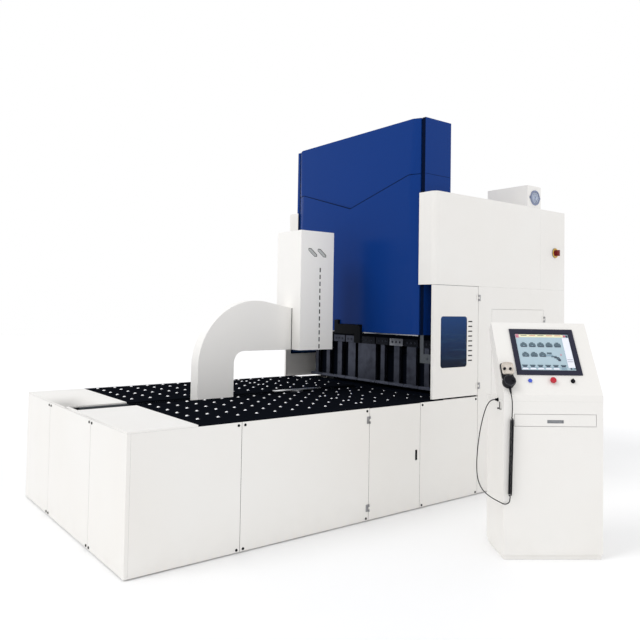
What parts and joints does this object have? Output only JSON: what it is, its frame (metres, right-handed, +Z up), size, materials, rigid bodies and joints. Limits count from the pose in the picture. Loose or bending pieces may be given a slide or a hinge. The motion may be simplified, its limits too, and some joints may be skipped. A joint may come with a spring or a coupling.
{
  "type": "panel bender",
  "caption": "Panel bender: ball table with a C-arm sheet manipulator, a bending cell with segmented tools under a tall tower, and a separate operator's console.",
  "frame": {"origin": "on the floor, under the middle of the bend line, where the upper and lower tools meet", "axes": "+X from the loading end of the table towards the bending cell and the rear cabinet, +Y from the operator's side with the console towards the far side, +Z up"},
  "size_m": [4.719, 3.7819, 3.402],
  "materials": {
    "white_paint": "powder coat, satin",
    "blue_paint": "gloss paint",
    "grey_paint": "satin paint",
    "black_paint": "satin paint",
    "tool_steel": "oiled steel",
    "ground_steel": "ground",
    "brush_board": "brush boards",
    "ball": "polished",
    "blue_glass": "tinted pane",
    "hinge_metal": "satin chrome",
    "black_plastic": "moulded",
    "grey_plastic": "moulded",
    "red_plastic": "gloss",
    "blue_plastic": "gloss",
    "display": "screen",
    "cord_jacket": "satin"
  },
  "bodies": {
    "machine": {"base_frame": "grey_paint", "end_panels": "white_paint", "end_covers": "white_paint", "near_panels": "white_paint", "far_panels": "white_paint", "brush_tables": "brush_board", "transfer_balls": "ball", "feed_rails": "ground_steel", "sole_plate": "grey_paint", "side_frames": "grey_paint", "lower_beam": "grey_paint", "tower_shell": "blue_paint", "tower_cover_upper": "blue_paint", "tower_cover_lower": "blue_paint", "centre_guide": "black_paint", "upper_covers": "white_paint", "rear_box": "white_paint", "rear_panels": "white_paint", "control_gear": "grey_plastic", "door_hinges": "hinge_metal", "cover_screws": "black_paint", "isolator_base": "grey_plastic", "top_box": "white_paint", "fan_guard": "grey_plastic", "console_body": "white_paint", "console_head": "white_paint", "console_fittings": "black_paint", "screen_bezel": "black_plastic", "screen_display": "display", "pendant_body": "black_plastic", "console_lead": "cord_jacket", "curly_section": "cord_jacket", "pendant_lead": "cord_jacket"},
    "carriage": {"feed_carriage": "grey_paint", "c_arm": "white_paint", "head_housing": "white_paint"},
    "lower_clamp": {"lower_clamp": "ground_steel"},
    "ram": {"clamp_ram": "ground_steel"},
    "upper_clamp": {"clamp_foot": "ground_steel"},
    "press": {"upper_beam": "grey_paint", "tool_clamps": "tool_steel", "tool_segments": "tool_steel"},
    "saddle": {"blade_saddle": "grey_paint"},
    "blades": {"blade_holder": "tool_steel"},
    "service_door": {"service_door": "white_paint"},
    "latch": {"door_latch": "black_paint"},
    "near_window_door": {"window_door_near": "white_paint", "window_pane_near": "blue_glass"},
    "far_window_door": {"window_door_far": "white_paint", "window_pane_far": "blue_glass"},
    "rear_door": {"rear_door": "white_paint"},
    "isolator": {"isolator_handle": "red_plastic"},
    "fan": {"fan_wheel": "black_plastic"},
    "drawer": {"console_drawer": "white_paint"},
    "start": {"start_button": "blue_plastic"},
    "stop": {"stop_button": "red_plastic"},
    "selector": {"mode_selector": "black_plastic"},
    "dial": {"pendant_dial": "black_plastic"},
    "axis_knob": {"pendant_axis_knob": "black_plastic"},
    "rate_knob": {"pendant_rate_knob": "black_plastic"}
  },
  "joints": [
    {"name": "feed_slide", "type": "slide", "parent": "machine", "child": "carriage", "axis": [1, 0, 0], "range_m": [-0.9, 0.3]},
    {"name": "ram_slide", "type": "slide", "parent": "carriage", "child": "ram", "axis": [0, 0, 1], "range_m": [-0.378, 0]},
    {"name": "upper_clamp_turn", "type": "hinge", "parent": "ram", "child": "upper_clamp", "pos_m": [-0.913, 0, 1.294], "axis": [0, 0, 1], "continuous": true},
    {"name": "lower_clamp_turn", "type": "hinge", "parent": "carriage", "child": "lower_clamp", "pos_m": [-0.913, 0, 0.9085], "axis": [0, 0, 1], "continuous": true},
    {"name": "press_slide", "type": "slide", "parent": "machine", "child": "press", "axis": [0, 0, 1], "range_m": [-0.022, 0.15]},
    {"name": "blade_feed", "type": "slide", "parent": "machine", "child": "saddle", "axis": [1, 0, 0], "range_m": [0, 0.03]},
    {"name": "blade_stroke", "type": "slide", "parent": "saddle", "child": "blades", "axis": [0, 0, 1], "range_m": [-0.06, 0.06]},
    {"name": "service_door_hinge", "type": "hinge", "parent": "machine", "child": "service_door", "pos_m": [-1.01, -1.124, 0], "axis": [0, 0, 1], "range_deg": [-100, 0]},
    {"name": "latch_pull", "type": "hinge", "parent": "service_door", "child": "latch", "pos_m": [-0.478, -1.11575, 0.418], "axis": [1, 0, 0], "range_deg": [0, 40]},
    {"name": "near_window_hinge", "type": "hinge", "parent": "machine", "child": "near_window_door", "pos_m": [0.318, -1.124, 0], "axis": [0, 0, 1], "range_deg": [0, 100]},
    {"name": "far_window_hinge", "type": "hinge", "parent": "machine", "child": "far_window_door", "pos_m": [0.318, 1.124, 0], "axis": [0, 0, 1], "range_deg": [-100, 0]},
    {"name": "rear_door_hinge", "type": "hinge", "parent": "machine", "child": "rear_door", "pos_m": [1.345, -1.124, 0], "axis": [0, 0, 1], "range_deg": [0, 110]},
    {"name": "isolator_turn", "type": "hinge", "parent": "machine", "child": "isolator", "pos_m": [1.54, -1.118, 2.28], "axis": [0, 1, 0], "range_deg": [0, 90]},
    {"name": "fan_spin", "type": "hinge", "parent": "machine", "child": "fan", "pos_m": [1.18388, -1.118, 2.81485], "axis": [0, 1, 0], "continuous": true},
    {"name": "drawer_slide", "type": "slide", "parent": "machine", "child": "drawer", "axis": [-0.5821, -0.8131, 0], "range_m": [0, 0.25]},
    {"name": "start_press", "type": "slide", "parent": "machine", "child": "start", "axis": [0.4903, 0.6849, -0.539], "range_m": [0, 0.0025]},
    {"name": "stop_press", "type": "slide", "parent": "machine", "child": "stop", "axis": [0.4903, 0.6849, -0.539], "range_m": [0, 0.005]},
    {"name": "selector_turn", "type": "hinge", "parent": "machine", "child": "selector", "pos_m": [-0.36748, -2.49497, 1.19813], "axis": [-0.4903, -0.6849, 0.539], "range_deg": [-45, 45]},
    {"name": "dial_turn", "type": "hinge", "parent": "machine", "child": "dial", "pos_m": [-0.74584, -2.23668, 1.18212], "axis": [-0.4903, -0.6849, 0.539], "continuous": true},
    {"name": "axis_knob_turn", "type": "hinge", "parent": "machine", "child": "axis_knob", "pos_m": [-0.73386, -2.1856, 1.25793], "axis": [-0.4903, -0.6849, 0.539], "range_deg": [-100, 100]},
    {"name": "rate_knob_turn", "type": "hinge", "parent": "machine", "child": "rate_knob", "pos_m": [-0.70134, -2.20888, 1.25793], "axis": [-0.4903, -0.6849, 0.539], "range_deg": [-60, 60]}
  ],
  "couplings": [
    {"joint": "upper_clamp_turn", "follows": "lower_clamp_turn", "ratio": 1}
  ]
}
